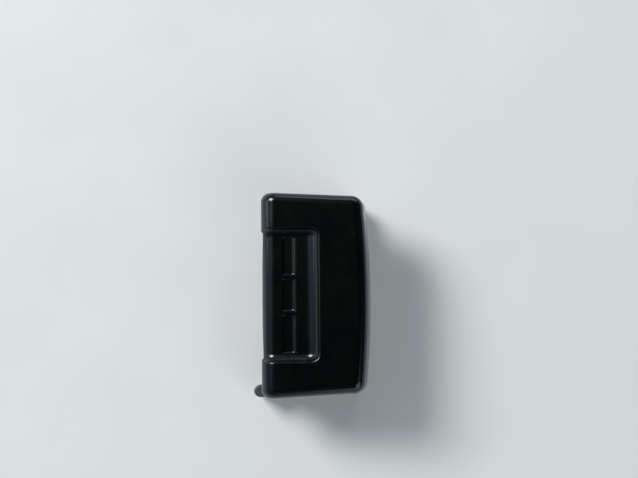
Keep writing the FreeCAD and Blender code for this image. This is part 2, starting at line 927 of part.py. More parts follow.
def make_return_springs():
    height = ram_low + s.spring_cap - spring_low - s.spring_wire
    coil_radius = (s.spring_across - s.spring_wire) / 2
    for word, (x, y) in zip(("left", "right"), post_places):
        body = new_body(f"return_spring_{word}")
        wire = circles([(coil_radius, s.spring_wire / 2)], s.spring_wire)
        sketch = sketch_at(body, "XZ", 0, wire)
        coil = body.newObject("PartDesign::AdditiveHelix", "coil")
        coil.Profile = sketch
        coil.ReferenceAxis = (sketch, ["V_Axis"])
        coil.Mode = "height-turns-angle"
        bind(coil, "Height", height)
        bind(coil, "Turns", s.spring_turns)
        settle(body, coil, grows=True)
        place(body, x, y, spring_low)


# The lever, drawn level about its pivot and then tilted up.


def make_lever_frame():
    body = new_body("lever_frame")
    plate = boxed(-arm_outer, arm_outer, -s.plate_front, plate_rear)
    pad(body, "XY", plate_low, plate_top, plate)
    arm = loop(
        (-arm_radius, 0, arm_radius),
        (arm_radius, 0),
        (s.arm_foot, plate_low),
        (-s.plate_front, plate_low),
    )
    lug_near = s.drive_radius - lug_radius
    lug_far = s.drive_radius + lug_radius
    lug = loop((lug_near, 0, lug_radius), (lug_far, 0), (lug_far, plate_low), (lug_near, plate_low))
    for side in (-1, 1):
        pad(body, "YZ", *span(side, arm_inner, arm_outer), arm)
        pad(body, "YZ", *span(side, lug_inner, lug_outer), lug)
    bend = lambda edge: at_level(edge, plate_top) and at_side(edge, arm_outer)
    fillet(body, s.lever_steel * 0.8, bend)
    arm_bore = circles([(0, 0)], bush_across + s.press_gap)
    cut(body, "YZ", -arm_outer - past, arm_outer + past, arm_bore)
    lug_bore = circles([(s.drive_radius, 0)], s.pin_across + s.press_gap * 2)
    cut(body, "YZ", -lug_outer - past, lug_outer + past, lug_bore)
    cut(body, "XY", plate_low, plate_top, circles(cover_screw_places, clear_across))
    place_on_lever(body)


def make_lever_cover():
    """A shell with a bowed press edge, a finger scoop open at the front, and an ear on each side."""
    body = new_body("lever_cover")
    raw_top = lever_top + s.scoop_round
    rear_half = lever_half - s.lever_taper
    shoulder = s.lever_rear - s.rear_bow
    step = s.brow_step / 2
    brow_out = scoop_half - step * 2
    brow_in = brow_out - s.brow_step
    plan = loop(
        (-lever_half, -lever_front),
        (-brow_out, -lever_front),
        (-brow_in, s.brow_step - lever_front, s.brow_step * 0.9),
        (brow_in, s.brow_step - lever_front),
        (brow_out, -lever_front),
        (lever_half, -lever_front),
        (rear_half, shoulder, s.rear_bow),
        (-rear_half, shoulder),
    )
    pad(body, "XY", -s.skirt_front, raw_top, plan)
    at_shoulder = lambda edge: upright(edge) and at_level(edge, shoulder, "Y")
    fillet(body, s.rear_corner, at_shoulder)
    cut_scoop(body, raw_top)

    # underside: slopes up towards the press edge, and is hollow
    far_left = -lever_half - past
    far_right = lever_half + past
    far_front = -lever_front - past
    far_rear = s.lever_rear + past
    slope = loop(
        (far_front, -s.skirt_front - past),
        (far_rear, -s.skirt_front - past),
        (far_rear, -s.skirt_rear),
        (s.lever_rear, -s.skirt_rear),
        (-lever_front, -s.skirt_front),
        (far_front, -s.skirt_front),
    )
    cut(body, "YZ", far_left, far_right, slope)
    hollow_lever_cover(body)

    # level top, rolled down at the front of both ears, then round edges all along the sides
    cut(body, "XY", lever_top, raw_top, boxed(far_left, far_right, far_front, far_rear))
    roll = s.ear_round
    rolled = loop(
        (roll - lever_front, lever_top, roll * ROLL_BOW),
        (-lever_front, lever_top - roll),
        (far_front, lever_top - roll),
        (far_front, lever_top + past),
        (roll - lever_front, lever_top + past),
    )
    cut(body, "YZ", far_left, far_right, rolled)
    fillet(body, s.edge_round, on_cover_edge)
    pad(body, "XY", plate_top, lever_roof, circles(cover_screw_places, boss_across))
    cut(body, "XY", plate_top, cover_screw_tip + s.seat_gap, circles(cover_screw_places, thread_across))
    cut_recesses(body)
    fillet(body, s.rim_round, on_scoop_rim)
    place_on_lever(body)


def on_scoop_rim(edge):
    """True for the edge around the scoop's top, and on down the inner front of each ear."""
    box = edge.BoundBox
    if at_level(edge, lever_top):
        return max(-box.XMin, box.XMax) < scoop_half.value + past
    near = min(abs(box.XMin), abs(box.XMax)) > (scoop_half - s.scoop_end_round / 2).value
    beside = near and max(-box.XMin, box.XMax) < scoop_half.value + past and box.ZMin > 0
    over_roll = min(box.YLength, box.ZLength) > s.ear_round.value / 2
    down_front = box.ZLength > past and box.YMax < past / 2 - lever_front.value
    return beside and (over_roll or down_front)


def on_cover_edge(edge):
    """True for the outer top edges at the rear and sides, and the front corners below them."""
    box = edge.BoundBox
    reach = max(-box.XMin, box.XMax)
    outside = min(abs(box.XMin), abs(box.XMax)) > (lever_half - s.lever_wall / 2).value
    on_top = at_level(edge, lever_top) and reach > scoop_half.value + past
    across_ear = on_top and box.YMax < 0
    down_front = outside and box.XLength < 0.5 and box.YMax < s.ear_round.value
    return (on_top and not across_ear) or down_front


def cut_scoop(body, raw_top):
    """A level floor that rolls down at the front, with a wide hollow wall behind and tighter ends."""
    roll = s.brow_round
    hollow = s.scoop_round
    far_front = -lever_front - past
    profile = loop(
        (roll - lever_front, scoop_low),
        (scoop_wall - hollow, scoop_low, hollow * ROLL_BOW),
        (scoop_wall, scoop_low + hollow),
        (scoop_wall, raw_top + past),
        (far_front, raw_top + past),
        (far_front, scoop_low - roll),
        (-lever_front, scoop_low - roll, -roll * ROLL_BOW),
    )
    cut(body, "YZ", -scoop_half, scoop_half, profile)
    hollow_top = (scoop_low + hollow).value + 0.01
    below_top = lambda edge: edge.BoundBox.ZMin > 0 and edge.BoundBox.ZMax < hollow_top
    fillet(body, s.scoop_end_round, lambda edge: at_side(edge, scoop_half) and below_top(edge))


def hollow_lever_cover(body):
    """Empties the cover from below, higher around the scoop than under it."""
    wall = s.lever_wall
    rear_inner = lever_inner - s.lever_taper
    shoulder = s.lever_rear - s.rear_bow - wall
    front = wall - lever_front
    brow = front + s.brow_step
    brow_out = scoop_half - s.brow_step + wall
    under_floor = loop(
        (-lever_inner, front),
        (-brow_out, front),
        (s.brow_step - brow_out, brow),
        (brow_out - s.brow_step, brow),
        (brow_out, front),
        (lever_inner, front),
        (rear_inner, shoulder, s.rear_bow),
        (-rear_inner, shoulder),
    )
    beside = scoop_half + wall
    behind = s.scoop_rim + wall
    around_scoop = loop(
        (-lever_inner, front),
        (-beside, front),
        (-beside, behind),
        (beside, behind),
        (beside, front),
        (lever_inner, front),
        (rear_inner, shoulder, s.rear_bow),
        (-rear_inner, shoulder),
    )
    below = -s.skirt_front - past
    cut(body, "XY", below, plate_top, under_floor)
    cut(body, "XY", below, lever_roof, around_scoop)
    ear_front = lambda edge: at_level(edge, lever_roof) and at_level(edge, front, "Y")
    chamfer(body, s.ear_bevel, ear_front)
    brow_front = lambda edge: at_level(edge, plate_top) and at_level(edge, brow, "Y")
    chamfer(body, s.brow_bevel, brow_front)
    rear_corner = lambda edge: upright(edge) and at_side(edge, rear_inner)
    fillet(body, s.rear_corner - wall, rear_corner)
    front_corner = lambda edge: upright(edge) and at_side(edge, lever_inner)
    fillet(body, s.edge_round - wall, front_corner)


def cut_recesses(body):
    """Three finger recesses across the scoop floor, parted by two ribs, with a hollow rear slope."""
    low = scoop_low - s.recess_depth
    high = scoop_low + s.recess_depth
    slope = s.recess_slope
    chord_squared = slope * slope + s.recess_depth * s.recess_depth
    hollow = chord_squared / (s.recess_depth * 2)
    profile = loop(
        (s.recess_front, low),
        (s.recess_rear - slope, low, hollow - root(hollow * hollow - chord_squared / 4)),
        (s.recess_rear, scoop_low),
        (s.recess_rear, high),
        (s.recess_front, high),
    )
    outer_in = s.recess_mid + s.recess_rib
    outer_end = scoop_half - s.scoop_end_round - s.slide_gap
    for left, right in (
        (-outer_end, -outer_in),
        (-s.recess_mid, s.recess_mid),
        (outer_in, outer_end),
    ):
        cut(body, "YZ", left, right, profile)

    def inner_edge(edge):
        box = edge.BoundBox
        from_floor = abs(box.ZMin - low.value) < 0.01 and box.ZMax < high.value
        at_front = at_level(edge, s.recess_front, "Y")
        at_end = any(at_side(edge, x) for x in (s.recess_mid, outer_in, outer_end))
        return from_floor and (at_front or at_end)

    fillet(body, s.recess_round, inner_edge)


def make_cover_screws():
    head = plate_low - s.head_height
    place_on_lever(screws("cover_screws", cover_screw_places, head, cover_screw_tip))


# The sliding pieces.


def make_chip_drawer():
    body = new_body("chip_drawer")
    half = s.drawer_half
    wall = s.drawer_wall
    low = housing_z + s.move_gap
    high = deck_low - s.move_gap
    pull_face = s.base_rear + s.drawer_pull
    pad(body, "XY", low, high, boxed(-half, half, drawer_front, s.base_rear))
    inside = boxed(wall - half, half - wall, drawer_front + wall, s.base_rear - wall)
    cut(body, "XY", low + wall, high, inside)
    pad(body, "XY", low + wall, high - wall / 3, boxed(-half / 2, half / 2, s.base_rear, pull_face))
    fillet(body, s.drawer_pull * 0.4, lambda edge: at_level(edge, pull_face, "Y"))


def make_card_guide():
    """A plate in front of the base with a fence over the bed, a tongue in the groove and a grip."""
    body = new_body("card_guide")
    back = -s.base_front - s.move_gap
    face = back - s.plate_thick
    low = housing_z + s.bottom_inset
    grip_in = fence_x + s.plate_thick
    outer = grip_in + s.grip_across
    pad(body, "XZ", face, back, boxed(fence_x, outer, low, fence_top))
    fence = boxed(fence_x, fence_x + s.fence_thick, back, s.fence_reach - s.base_front)
    pad(body, "XY", fence_low, fence_top, fence)
    neck_y = s.groove_lip - s.base_front + s.slide_gap
    head_y = s.groove_deep - s.base_front - s.move_gap
    for near, far, height in ((back, neck_y, s.groove_neck), (neck_y, head_y, s.groove_head)):
        reach = height / 2 - s.slide_gap
        tongue = boxed(fence_x, outer - s.tongue_inset, groove_z - reach, groove_z + reach)
        pad(body, "XZ", near, far, tongue)
    shoulder = face - (s.grip_reach - s.grip_bow)
    grip = loop((grip_in, face), (grip_in, shoulder, s.grip_bow), (outer, shoulder), (outer, face))
    pad(body, "XY", low, fence_top, grip)
    on_grip = lambda edge: at_level(edge, fence_top) and edge.BoundBox.YMax < face.value + 0.01
    fillet(body, s.plate_thick / 2, on_grip)


BUILDERS = [
    make_feet,
    make_bottom_cover,
    make_bottom_screws,
    make_base_housing,
    make_steel_frame,
    make_frame_screws,
    make_die_insert,
    make_punch_guide,
    make_guide_screws,
    make_depth_stop,
    make_stop_screws,
    make_guide_posts,
    make_return_springs,
    make_pivot,
    make_pivot_bushes,
    make_lever_frame,
    make_lever_cover,
    make_cover_screws,
    make_drive,
    make_ram_bar,
    make_punch_blade,
    make_blade_pin,
    make_card_guide,
    make_chip_drawer,
]


def write_parts():
    """Checks every object, then writes each sub-part to its own file."""
    doc.recompute()
    for thing in doc.Objects:
        if "Invalid" in thing.State or "Error" in thing.State:
            raise RuntimeError(f"{thing.Label} is {thing.State}")
    for body in parts:
        if body.Shape.isNull() or not body.Shape.isValid():
            raise RuntimeError(f"{body.Label} has no sound shape")
    os.makedirs("parts", exist_ok=True)
    for body in parts:
        body.Shape.exportStep(f"parts/{body.Label}.step")
        print(body.Label, len(body.Shape.Solids), round(body.Shape.Volume, 2))


for build in BUILDERS:
    build()
write_parts()
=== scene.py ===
import json
import math

import bpy
from mathutils import Matrix, Vector


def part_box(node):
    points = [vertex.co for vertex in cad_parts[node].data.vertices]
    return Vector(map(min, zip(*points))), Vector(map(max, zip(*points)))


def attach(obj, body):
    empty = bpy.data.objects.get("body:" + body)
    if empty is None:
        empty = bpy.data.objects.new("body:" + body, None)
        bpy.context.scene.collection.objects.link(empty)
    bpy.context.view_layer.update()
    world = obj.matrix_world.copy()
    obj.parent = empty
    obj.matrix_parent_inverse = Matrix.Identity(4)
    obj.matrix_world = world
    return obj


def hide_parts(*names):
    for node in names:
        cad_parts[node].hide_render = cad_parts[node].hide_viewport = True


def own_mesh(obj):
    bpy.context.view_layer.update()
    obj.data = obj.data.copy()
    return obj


# ID card slot punch. Metres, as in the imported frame: X along the lever, Y from the card mouth
# to the press edge, Z up from the table.

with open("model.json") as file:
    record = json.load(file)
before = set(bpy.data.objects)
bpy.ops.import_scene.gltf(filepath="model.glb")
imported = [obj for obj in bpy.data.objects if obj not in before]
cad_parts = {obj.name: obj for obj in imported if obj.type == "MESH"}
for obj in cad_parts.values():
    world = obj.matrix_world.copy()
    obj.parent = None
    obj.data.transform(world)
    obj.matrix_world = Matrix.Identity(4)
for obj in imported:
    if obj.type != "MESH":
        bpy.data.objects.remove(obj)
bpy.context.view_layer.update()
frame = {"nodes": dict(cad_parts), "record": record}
mm = 0.001
print("frame loaded,", len(frame["nodes"]), "nodes")

bodies = frame["record"]["behaviour"]["bodies"]
bodyOf = {node: body for body, nodes in bodies.items() for node in nodes}
slotOf = {part["node"]: part["material_slot"] for part in frame["record"]["subparts"]}


def addNode(tree, kind, settings=None, inputs=None):
    # a value that is a socket is linked, any other is set
    node = tree.nodes.new(kind)
    for name, value in (settings or {}).items():
        setattr(node, name, value)
    for name, value in (inputs or {}).items():
        if isinstance(value, bpy.types.NodeSocket):
            tree.links.new(value, node.inputs[name])
        else:
            node.inputs[name].default_value = value
    return node


def fromHex(text):
    # sRGB hex to linear colour, by the standard's own formula
    channels = [int(text[i : i + 2], 16) / 255 for i in (1, 3, 5)]
    linear = [c / 12.92 if c <= 0.04045 else ((c + 0.055) / 1.055) ** 2.4 for c in channels]
    return (*linear, 1)


def rescale(tree, value, fromLow, fromHigh, toLow=0.0, toHigh=1.0):
    inputs = {"Value": value, 1: fromLow, 2: fromHigh, 3: toLow, 4: toHigh}
    return addNode(tree, "ShaderNodeMapRange", None, inputs).outputs["Result"]


def combine(tree, operation, first, second=0.0):
    inputs = {0: first, 1: second}
    return addNode(tree, "ShaderNodeMath", {"operation": operation}, inputs).outputs[0]


def mixColour(tree, factor, first, second):
    inputs = {"Factor": factor, 6: first, 7: second}
    return addNode(tree, "ShaderNodeMix", {"data_type": "RGBA"}, inputs).outputs[2]


def noise(tree, coords, sizeMm, detail=2.0, stretch=None, rough=0.5):
    # grey noise whose cells are about sizeMm across, drawn out along the axes in stretch
    if stretch:
        inputs = {"Vector": coords, "Scale": tuple(1 / value for value in stretch)}
        coords = addNode(tree, "ShaderNodeMapping", None, inputs).outputs[0]
    inputs = {"Vector": coords, "Scale": 1 / (sizeMm * mm), "Detail": detail, "Roughness": rough}
    return addNode(tree, "ShaderNodeTexNoise", None, inputs).outputs["Fac"]


def bump(tree, height, depthMm, normal):
    inputs = {"Height": height, "Distance": depthMm * mm, "Normal": normal}
    return addNode(tree, "ShaderNodeBump", None, inputs).outputs["Normal"]


def newMaterial(name, metallic=0.0, ior=1.5):
    material = bpy.data.materials.new(name)
    material.use_nodes = True
    tree = material.node_tree
    tree.nodes.clear()
    inputs = {"Metallic": metallic, "IOR": ior}
    shader = addNode(tree, "ShaderNodeBsdfPrincipled", None, inputs)
    addNode(tree, "ShaderNodeOutputMaterial", None, {"Surface": shader.outputs["BSDF"]})
    coords = addNode(tree, "ShaderNodeTexCoord").outputs["Object"]
    return material, tree, shader, coords


# What every finish shares. A span is the part of a noise, or of an edge's turn, over which a
# mark fades in.
surface = {
    "edgeSamples": 6,
    "edgeSpan": (0.995, 0.93),  # cosine between the face and its rounded normal
    "cloudDetail": 3.0,
    "fullSpan": (0.3, 0.7),  # nearly all of a noise lies in it
}
# How every plastic gets scuffed: straight scratches in two directions, specks and rubbed edges.
scuffs = {
    "long": {"lengthMm": 9, "widthMm": 0.22, "turn": (0.2, 0.1, 0.5)},
    "short": {"lengthMm": 6, "widthMm": 0.18, "turn": (0.1, -0.3, 2.1)},
    "scratchSpan": (0.70, 0.76),
    "scratchDepthMm": 0.002,
    "speckSpan": (0.80, 0.84),
    "rubSpan": (0.45, 0.65),
    "leastRub": 0.1,
    "roughAdded": 0.25,
    "grainRough": 0.6,
    "roughSpan": (0.25, 0.75),
}


def scratches(tree, coords, look):
    # thin straight marks: noise drawn out along one turned axis, cut to its peaks
    inputs = {"Vector": coords, "Rotation": look["turn"]}
    turned = addNode(tree, "ShaderNodeMapping", None, inputs).outputs[0]
    stretch = (look["lengthMm"] / look["widthMm"], 1, 1)
    marks = noise(tree, turned, look["widthMm"], detail=1.0, stretch=stretch)
    return rescale(tree, marks, *scuffs["scratchSpan"])


def softEdges(tree, edgeMm):
    # the normal rounded over every sharp edge, and a mask of where that turns it
    settings = {"samples": surface["edgeSamples"]}
    rounded = addNode(tree, "ShaderNodeBevel", settings, {"Radius": edgeMm * mm}).outputs[0]
    sharp = addNode(tree, "ShaderNodeNewGeometry").outputs["Normal"]
    settings = {"operation": "DOT_PRODUCT"}
    turned = addNode(tree, "ShaderNodeVectorMath", settings, {0: rounded, 1: sharp})
    return rounded, rescale(tree, turned.outputs["Value"], *surface["edgeSpan"])


def cloudedColour(tree, cloud, look):
    tone = rescale(tree, cloud, *surface["fullSpan"])
    return mixColour(tree, tone, fromHex(look["dark"]), fromHex(look["light"]))


def plastic(name, look):
    material, tree, shader, coords = newMaterial(name, ior=look["ior"])
    rounded, edges = softEdges(tree, look["edgeMm"])
    cloud = noise(tree, coords, look["cloudMm"], surface["cloudDetail"])
    grain = noise(tree, coords, look["grainMm"], rough=scuffs["grainRough"])
    marks = [scratches(tree, coords, scuffs[which]) for which in ("long", "short")]
    marks = combine(tree, "MAXIMUM", *marks)
    specks = noise(tree, coords, look["speckMm"], detail=0.0)
    specks = rescale(tree, specks, *scuffs["speckSpan"])
    rubbed = rescale(tree, cloud, *scuffs["rubSpan"], scuffs["leastRub"])
    rubbed = combine(tree, "MULTIPLY", edges, rubbed)
    worn = combine(tree, "MAXIMUM", combine(tree, "MAXIMUM", marks, specks), rubbed)
    worn = combine(tree, "MULTIPLY", worn, look["wear"])
    colour = mixColour(tree, worn, cloudedColour(tree, cloud, look), fromHex(look["mark"]))
    tree.links.new(colour, shader.inputs["Base Color"])
    low, high = look["rough"] - look["roughSpread"], look["rough"] + look["roughSpread"]
    smooth = rescale(tree, cloud, *scuffs["roughSpan"], low, high)
    added = combine(tree, "MULTIPLY", worn, scuffs["roughAdded"])
    tree.links.new(combine(tree, "ADD", smooth, added), shader.inputs["Roughness"])
    normal = bump(tree, grain, look["grainDepthMm"], rounded)
    normal = bump(tree, marks, scuffs["scratchDepthMm"], normal)
    tree.links.new(normal, shader.inputs["Normal"])
    return material


def metal(name, look):
    material, tree, shader, coords = newMaterial(name, metallic=1.0)
    rounded, edges = softEdges(tree, look["edgeMm"])
    cloud = noise(tree, coords, look["cloudMm"], surface["cloudDetail"])
    lines = noise(tree, coords, look["lineMm"], stretch=look["stretch"])
    bare = combine(tree, "MULTIPLY", edges, look["wear"])
    colour = mixColour(tree, bare, cloudedColour(tree, cloud, look), fromHex(look["edge"]))
    tree.links.new(colour, shader.inputs["Base Color"])
    spread = look["roughSpread"]
    low, high = look["rough"] - spread, look["rough"] + spread
    smooth = rescale(tree, lines, *surface["fullSpan"], low, high)
    patchy = rescale(tree, cloud, *surface["fullSpan"], -spread / 2, spread / 2)
    tree.links.new(combine(tree, "ADD", smooth, patchy), shader.inputs["Roughness"])
    normal = bump(tree, lines, look["lineDepthMm"], rounded)
    tree.links.new(normal, shader.inputs["Normal"])
    return material


# Black ABS of the lever, moulded in a lightly spark-eroded tool and scuffed in use: near black
# on the flats, a satin sheen on every round. The real grain is finer than 0.3 mm.
leverBlackLook = {
    "dark": "#020304", "light": "#050606", "mark": "#2a2e34", "ior": 1.5, "edgeMm": 0.14,
    "cloudMm": 14, "grainMm": 0.32, "grainDepthMm": 0.002, "speckMm": 0.7,
    "rough": 0.19, "roughSpread": 0.02, "wear": 0.3,
}
# Fine-textured black ABS of the base: duller, with a visible tooth.
baseBlackLook = {
    "dark": "#0b0c0d", "light": "#101113", "mark": "#303337", "ior": 1.5, "edgeMm": 0.3,
    "cloudMm": 18, "grainMm": 0.45, "grainDepthMm": 0.018, "speckMm": 0.8,
    "rough": 0.46, "roughSpread": 0.05, "wear": 0.25,
}
# Slate-grey ABS of the sliding guide, satin.
slateLook = {
    "dark": "#3a4551", "light": "#414d5a", "mark": "#66727f", "ior": 1.5, "edgeMm": 0.3,
    "cloudMm": 9, "grainMm": 0.35, "grainDepthMm": 0.008, "speckMm": 0.8,
    "rough": 0.42, "roughSpread": 0.04, "wear": 0.3,
}
# Charcoal ABS of the chip drawer.
drawerLook = {
    "dark": "#1b1c1f", "light": "#212327", "mark": "#4a4d52", "ior": 1.5, "edgeMm": 0.25,
    "cloudMm": 12, "grainMm": 0.4, "grainDepthMm": 0.012, "speckMm": 0.8,
    "rough": 0.44, "roughSpread": 0.04, "wear": 0.3,
}
# Natural nylon of the bushes: milky and slightly waxy.
nylonLook = {
    "dark": "#d8d3c4", "light": "#e0dccf", "mark": "#b9b4a6", "ior": 1.53, "edgeMm": 0.15,
    "cloudMm": 4, "grainMm": 0.4, "grainDepthMm": 0.006, "speckMm": 0.6,
    "rough": 0.46, "roughSpread": 0.03, "wear": 0.2,
}
# Moulded rubber of the feet: matt, with grey dust in its skin.
rubberLook = {
    "dark": "#141414", "light": "#1c1c1c", "mark": "#4a4844", "ior": 1.52, "edgeMm": 0.3,
    "cloudMm": 3, "grainMm": 0.3, "grainDepthMm": 0.03, "speckMm": 0.5,
    "rough": 0.82, "roughSpread": 0.05, "wear": 0.5,
}
# Zinc-plated cold-rolled sheet: bluish, faintly cloudy, rolled along X, brighter at the sheared
# edges.
zincLook = {
    "dark": "#a1a6ad", "light": "#c6c9cd", "edge": "#d6d8da", "edgeMm": 0.15, "wear": 0.6,
    "cloudMm": 5, "lineMm": 0.4, "stretch": (40, 1, 2), "lineDepthMm": 0.0018,
    "rough": 0.34, "roughSpread": 0.06,
}
# Milled aluminium bar: bright, with cutter lines along X.
aluminiumLook = {
    "dark": "#c4c6c8", "light": "#d6d7d8", "edge": "#e6e7e7", "edgeMm": 0.2, "wear": 0.6,
    "cloudMm": 9, "lineMm": 0.3, "stretch": (40, 1, 1), "lineDepthMm": 0.003,
    "rough": 0.27, "roughSpread": 0.06,
}
# Hardened tool steel, surface ground across the slot: darker, with very straight lines.
toolSteelLook = {
    "dark": "#8b8c8f", "light": "#9a9b9d", "edge": "#c3c4c6", "edgeMm": 0.08, "wear": 0.6,
    "cloudMm": 6, "lineMm": 0.22, "stretch": (1, 50, 1), "lineDepthMm": 0.003,
    "rough": 0.22, "roughSpread": 0.05,
}
# Centreless-ground pins and shoulder screws: bright and smooth, with faint lines round a pin.
groundPinLook = {
    "dark": "#b6b7b9", "light": "#c6c7c8", "edge": "#d8d9da", "edgeMm": 0.12, "wear": 0.5,
    "cloudMm": 5, "lineMm": 0.25, "stretch": (1, 12, 12), "lineDepthMm": 0.002,
    "rough": 0.18, "roughSpread": 0.04,
}
# Drawn spring wire and stamped spring strip: a warm grey with a drawn sheen.
springLook = {
    "dark": "#8a8880", "light": "#a19f98", "edge": "#bdbbb5", "edgeMm": 0.06, "wear": 0.5,
    "cloudMm": 2, "lineMm": 0.2, "stretch": (8, 8, 1), "lineDepthMm": 0.002,
    "rough": 0.28, "roughSpread": 0.06,
}
# Black oxide on the screws: a thin dark skin over steel, bare where the key has rubbed.
oxideLook = {
    "dark": "#242528", "light": "#37352f", "edge": "#8b8a86", "edgeMm": 0.1, "wear": 0.5,
    "cloudMm": 1.5, "lineMm": 0.3, "stretch": (1, 1, 1), "lineDepthMm": 0.003,
    "rough": 0.40, "roughSpread": 0.06,
}

materialOf = {
    "lever_black": plastic("satinMouldedAbsBlack", leverBlackLook),
    "base_black": plastic("texturedMouldedAbsBlack", baseBlackLook),
    "slate_plastic": plastic("satinMouldedAbsSlate", slateLook),
    "drawer_grey": plastic("mouldedAbsCharcoal", drawerLook),
    "nylon": plastic("naturalNylon", nylonLook),
    "rubber": plastic("mouldedRubber", rubberLook),
    "zinc_steel": metal("zincPlatedSheet", zincLook),
    "bare_aluminium": metal("milledAluminium", aluminiumLook),
    "tool_steel": metal("groundToolSteel", toolSteelLook),
    "bright_steel": metal("groundBrightSteel", groundPinLook),
    "spring_steel": metal("drawnSpringSteel", springLook),
    "black_oxide": metal("blackOxideSteel", oxideLook),
}
for node, obj in frame["nodes"].items():
    for materialSlot in obj.material_slots:
        materialSlot.material = materialOf[slotOf[node]]
print("materials made:", len(materialOf))


def newTree(name, sizes):
    # an empty Geometry Nodes tree with one named input for each size
    tree = bpy.data.node_groups.new(name, "GeometryNodeTree")
    tree.interface.new_socket("Geometry", in_out="OUTPUT", socket_type="NodeSocketGeometry")
    identifiers = {}
    for label, value in sizes.items():
        kind = {float: "Float", int: "Int", Vector: "Vector"}.get(type(value), "Material")
        kind = "NodeSocket" + kind
        socket = tree.interface.new_socket(label, in_out="INPUT", socket_type=kind)
        identifiers[label] = socket.identifier
    return tree, addNode(tree, "NodeGroupInput").outputs, identifiers


def bakedMesh(tree, sizes, identifiers):
    # runs the tree on an empty holder and returns the result as a plain mesh
    holder = bpy.data.objects.new(tree.name + "Holder", bpy.data.meshes.new(tree.name))
    bpy.context.scene.collection.objects.link(holder)
    modifier = holder.modifiers.new(tree.name, "NODES")
    modifier.node_group = tree
    for label, value in sizes.items():
        modifier[identifiers[label]] = value
    graph = bpy.context.evaluated_depsgraph_get()
    mesh = bpy.data.meshes.new_from_object(holder.evaluated_get(graph), depsgraph=graph)
    bpy.data.objects.remove(holder)
    return mesh


def joinedPosition(tree, x, y, z):
    inputs = {"X": x, "Y": y, "Z": z}
    return addNode(tree, "ShaderNodeCombineXYZ", None, inputs).outputs[0]


def placed(tree, geometry, position):
    inputs = {"Geometry": geometry, "Position": position}
    return addNode(tree, "GeometryNodeSetPosition", None, inputs).outputs[0]


def finishTree(tree, geometry, material):
    inputs = {"Geometry": geometry}
    geometry = addNode(tree, "GeometryNodeRealizeInstances", None, inputs).outputs[0]
    inputs = {"Geometry": geometry, "Material": material}
    geometry = addNode(tree, "GeometryNodeSetMaterial", None, inputs).outputs[0]
    addNode(tree, "NodeGroupOutput", None, {"Geometry": geometry})


def addPiece(name, mesh, node):
    # a visible piece that moves with one of the nodes
    piece = bpy.data.objects.new(name, mesh)
    bpy.context.scene.collection.objects.link(piece)
    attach(piece, bodyOf[node])
    return piece


def coilRise(tree, given, along, firstRise):
    # the wire climbs at its own thickness through the closed turns and evenly between them
    closed = combine(tree, "DIVIDE", given["Closed turns"], given["Turns"])
    opened = combine(tree, "SUBTRACT", 1.0, closed)
    endRise = combine(tree, "MULTIPLY", given["Closed turns"], given["Wire across"])
    start = combine(tree, "MULTIPLY", given["Wire across"], firstRise)
    middle = combine(tree, "MULTIPLY", combine(tree, "ADD", endRise, start), 2.0)
    middle = combine(tree, "SUBTRACT", given["Height"], middle)
    rise = combine(tree, "ADD", start, rescale(tree, along, 0.0, closed, 0.0, endRise))
    rise = combine(tree, "ADD", rise, rescale(tree, along, closed, opened, 0.0, middle))
    return combine(tree, "ADD", rise, rescale(tree, along, opened, 1.0, 0.0, endRise))


